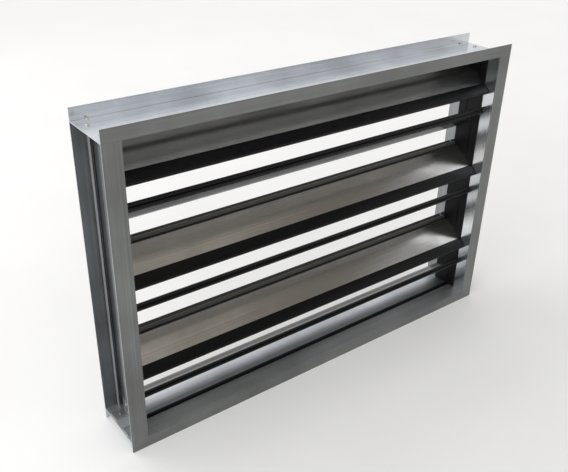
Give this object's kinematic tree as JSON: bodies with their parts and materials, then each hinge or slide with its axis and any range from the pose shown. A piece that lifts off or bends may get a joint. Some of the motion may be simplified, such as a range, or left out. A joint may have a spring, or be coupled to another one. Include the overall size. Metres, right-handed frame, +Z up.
{
  "type": "volume control damper",
  "caption": "Rectangular opposed-blade air damper: aluminium channel frame, hollow aerofoil blades with rubber edges, geared together and turned by one drive spindle.",
  "frame": {"origin": "floor line under the middle of the frame, midway between the two flanges and below the blade pivots", "axes": "+X across the duct towards the drive side, +Y along the air flow away from the front flange, +Z up"},
  "size_m": [1.009, 0.122, 0.659],
  "materials": {
    "frame_aluminium": "mill finish, satin",
    "blade_aluminium": "mill finish, blotchy",
    "edge_rubber": "smooth matte",
    "seal_strip": "matte",
    "bush_plastic": "moulded",
    "gear_plastic": "moulded",
    "shaft_steel": "zinc plated",
    "fastener_steel": "zinc plated",
    "cleat_steel": "galvanised"
  },
  "bodies": {
    "frame": {"top_rail": "frame_aluminium", "bottom_rail": "frame_aluminium", "left_stile": "frame_aluminium", "right_stile": "frame_aluminium", "left_jamb_seal": "seal_strip", "right_jamb_seal": "seal_strip", "top_rail_seal": "seal_strip", "bottom_rail_seal": "seal_strip", "bushes_left": "bush_plastic", "bushes_right": "bush_plastic", "cleats_top_left": "cleat_steel", "cleats_top_right": "cleat_steel", "cleats_bottom_left": "cleat_steel", "cleats_bottom_right": "cleat_steel", "corner_screws": "fastener_steel", "cleat_rivets": "fastener_steel"},
    "louvre_1": {"blade_1": "blade_aluminium", "edge_seals_1": "edge_rubber", "left_shaft_1": "shaft_steel", "right_shaft_1": "shaft_steel", "gear_1": "gear_plastic", "clip_1": "fastener_steel"},
    "louvre_2": {"blade_2": "blade_aluminium", "edge_seals_2": "edge_rubber", "left_shaft_2": "shaft_steel", "right_shaft_2": "shaft_steel", "gear_2": "gear_plastic", "clip_2": "fastener_steel"},
    "louvre_3": {"blade_3": "blade_aluminium", "edge_seals_3": "edge_rubber", "left_shaft_3": "shaft_steel", "right_shaft_3": "shaft_steel", "gear_3": "gear_plastic", "drive_spindle": "shaft_steel"},
    "louvre_4": {"blade_4": "blade_aluminium", "edge_seals_4": "edge_rubber", "left_shaft_4": "shaft_steel", "right_shaft_4": "shaft_steel", "gear_4": "gear_plastic", "clip_4": "fastener_steel"},
    "louvre_5": {"blade_5": "blade_aluminium", "edge_seals_5": "edge_rubber", "left_shaft_5": "shaft_steel", "right_shaft_5": "shaft_steel", "gear_5": "gear_plastic", "clip_5": "fastener_steel"},
    "louvre_6": {"blade_6": "blade_aluminium", "edge_seals_6": "edge_rubber", "left_shaft_6": "shaft_steel", "right_shaft_6": "shaft_steel", "gear_6": "gear_plastic", "clip_6": "fastener_steel"}
  },
  "joints": [
    {"name": "louvre_3_turn", "type": "hinge", "parent": "frame", "child": "louvre_3", "pos_m": [0, 0, 0.3795], "axis": [1, 0, 0], "range_deg": [-36.5, 53.5]},
    {"name": "louvre_1_turn", "type": "hinge", "parent": "frame", "child": "louvre_1", "pos_m": [0, 0, 0.5795], "axis": [1, 0, 0], "range_deg": [-36.5, 53.5]},
    {"name": "louvre_2_turn", "type": "hinge", "parent": "frame", "child": "louvre_2", "pos_m": [0, 0, 0.4795], "axis": [1, 0, 0], "range_deg": [-53.5, 36.5]},
    {"name": "louvre_4_turn", "type": "hinge", "parent": "frame", "child": "louvre_4", "pos_m": [0, 0, 0.2795], "axis": [1, 0, 0], "range_deg": [-53.5, 36.5]},
    {"name": "louvre_5_turn", "type": "hinge", "parent": "frame", "child": "louvre_5", "pos_m": [0, 0, 0.1795], "axis": [1, 0, 0], "range_deg": [-36.5, 53.5]},
    {"name": "louvre_6_turn", "type": "hinge", "parent": "frame", "child": "louvre_6", "pos_m": [0, 0, 0.0795], "axis": [1, 0, 0], "range_deg": [-53.5, 36.5]}
  ],
  "couplings": [
    {"joint": "louvre_1_turn", "follows": "louvre_3_turn", "ratio": 1},
    {"joint": "louvre_2_turn", "follows": "louvre_3_turn", "ratio": -1},
    {"joint": "louvre_4_turn", "follows": "louvre_3_turn", "ratio": -1},
    {"joint": "louvre_5_turn", "follows": "louvre_3_turn", "ratio": 1},
    {"joint": "louvre_6_turn", "follows": "louvre_3_turn", "ratio": -1}
  ]
}
